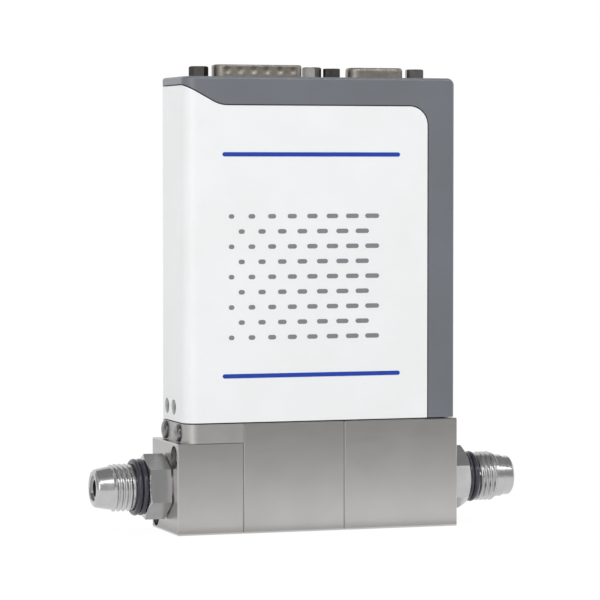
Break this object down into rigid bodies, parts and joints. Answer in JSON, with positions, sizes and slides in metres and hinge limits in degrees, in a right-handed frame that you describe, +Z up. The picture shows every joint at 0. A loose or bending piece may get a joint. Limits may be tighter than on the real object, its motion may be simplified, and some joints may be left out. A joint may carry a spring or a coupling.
{
  "type": "mass flow controller",
  "caption": "Thermal gas mass flow controller: steel flow body with face-seal fittings, white and grey case, D-sub connectors on top and a sprung control valve inside.",
  "frame": {"origin": "middle of the flow body's base, on the plane that it stands on", "axes": "+X along the flow from inlet to outlet, +Y from the printed front to the back, +Z up towards the connectors"},
  "size_m": [0.124, 0.0254, 0.1303],
  "materials": {
    "block_steel": "fine milled stainless steel, satin",
    "fitting_steel": "turned and polished stainless steel",
    "bracket_steel": "bead-blasted stainless steel",
    "screw_steel": "bright stainless steel",
    "frame_paint": "grey satin powder coat",
    "cover_paint": "white satin powder coat",
    "blue_print": "screen-printed blue ink",
    "grey_print": "screen-printed grey ink",
    "ring_rubber": "black fluoroelastomer",
    "shell_steel": "tin-plated pressed steel",
    "post_steel": "dark nickel-plated steel",
    "connector_plastic": "dark moulded thermoplastic",
    "contact_gold": "gold-flashed brass",
    "board_laminate": "green glass-epoxy laminate",
    "chip_black": "black moulded epoxy",
    "can_aluminium": "bright aluminium can",
    "coil_tape": "amber coil wrap",
    "yoke_steel": "zinc-plated magnetic steel",
    "gasket_nickel": "soft nickel"
  },
  "bodies": {
    "housing": {"inlet_block": "block_steel", "center_block": "block_steel", "outlet_block": "block_steel", "inlet_block_screws": "screw_steel", "outlet_block_screws": "screw_steel", "inlet_seam_seal": "gasket_nickel", "outlet_seam_seal": "gasket_nickel", "inlet_fitting": "fitting_steel", "outlet_fitting": "fitting_steel", "inlet_inner_o_ring": "ring_rubber", "inlet_outer_o_ring": "ring_rubber", "outlet_inner_o_ring": "ring_rubber", "outlet_outer_o_ring": "ring_rubber", "inlet_gasket": "gasket_nickel", "outlet_gasket": "gasket_nickel", "inlet_screen": "gasket_nickel", "flow_splitter": "fitting_steel", "housing_frame": "frame_paint", "cover": "cover_paint", "cover_bracket": "bracket_steel", "bracket_screws": "screw_steel", "cover_screws": "screw_steel", "frame_screws": "screw_steel", "blue_rules": "blue_print", "dash_field": "grey_print", "plug_shell": "shell_steel", "plug_insulator": "connector_plastic", "plug_pins": "contact_gold", "plug_jackposts": "post_steel", "socket_shell": "shell_steel", "socket_insulator": "connector_plastic", "socket_contacts": "contact_gold", "socket_jackposts": "post_steel", "connector_board": "board_laminate", "board_bracket": "yoke_steel", "bracket_foot_screws": "screw_steel", "board_standoffs": "screw_steel", "main_board": "board_laminate", "board_screws": "screw_steel", "board_header": "chip_black", "processor": "chip_black", "driver_chips": "chip_black", "capacitors": "can_aluminium", "sensor_base": "block_steel", "sensor_seals": "gasket_nickel", "sensor_tube": "fitting_steel", "sensor_windings": "coil_tape", "sensor_cover": "can_aluminium", "sensor_screws": "screw_steel", "valve_orifice": "fitting_steel", "valve_seal": "gasket_nickel", "valve_body": "fitting_steel", "valve_screws": "screw_steel", "valve_spring": "screw_steel", "valve_core": "yoke_steel", "solenoid_coil": "coil_tape", "coil_yoke": "yoke_steel", "coil_nut": "screw_steel"},
    "plunger": {"valve_plunger": "yoke_steel"}
  },
  "joints": [
    {"name": "valve_lift", "type": "slide", "parent": "housing", "child": "plunger", "axis": [0, 0, 1], "range_m": [0, 0.0004], "stiffness_N_per_m": 600, "springref_m": -0.002, "deforming": ["valve_spring"]}
  ]
}
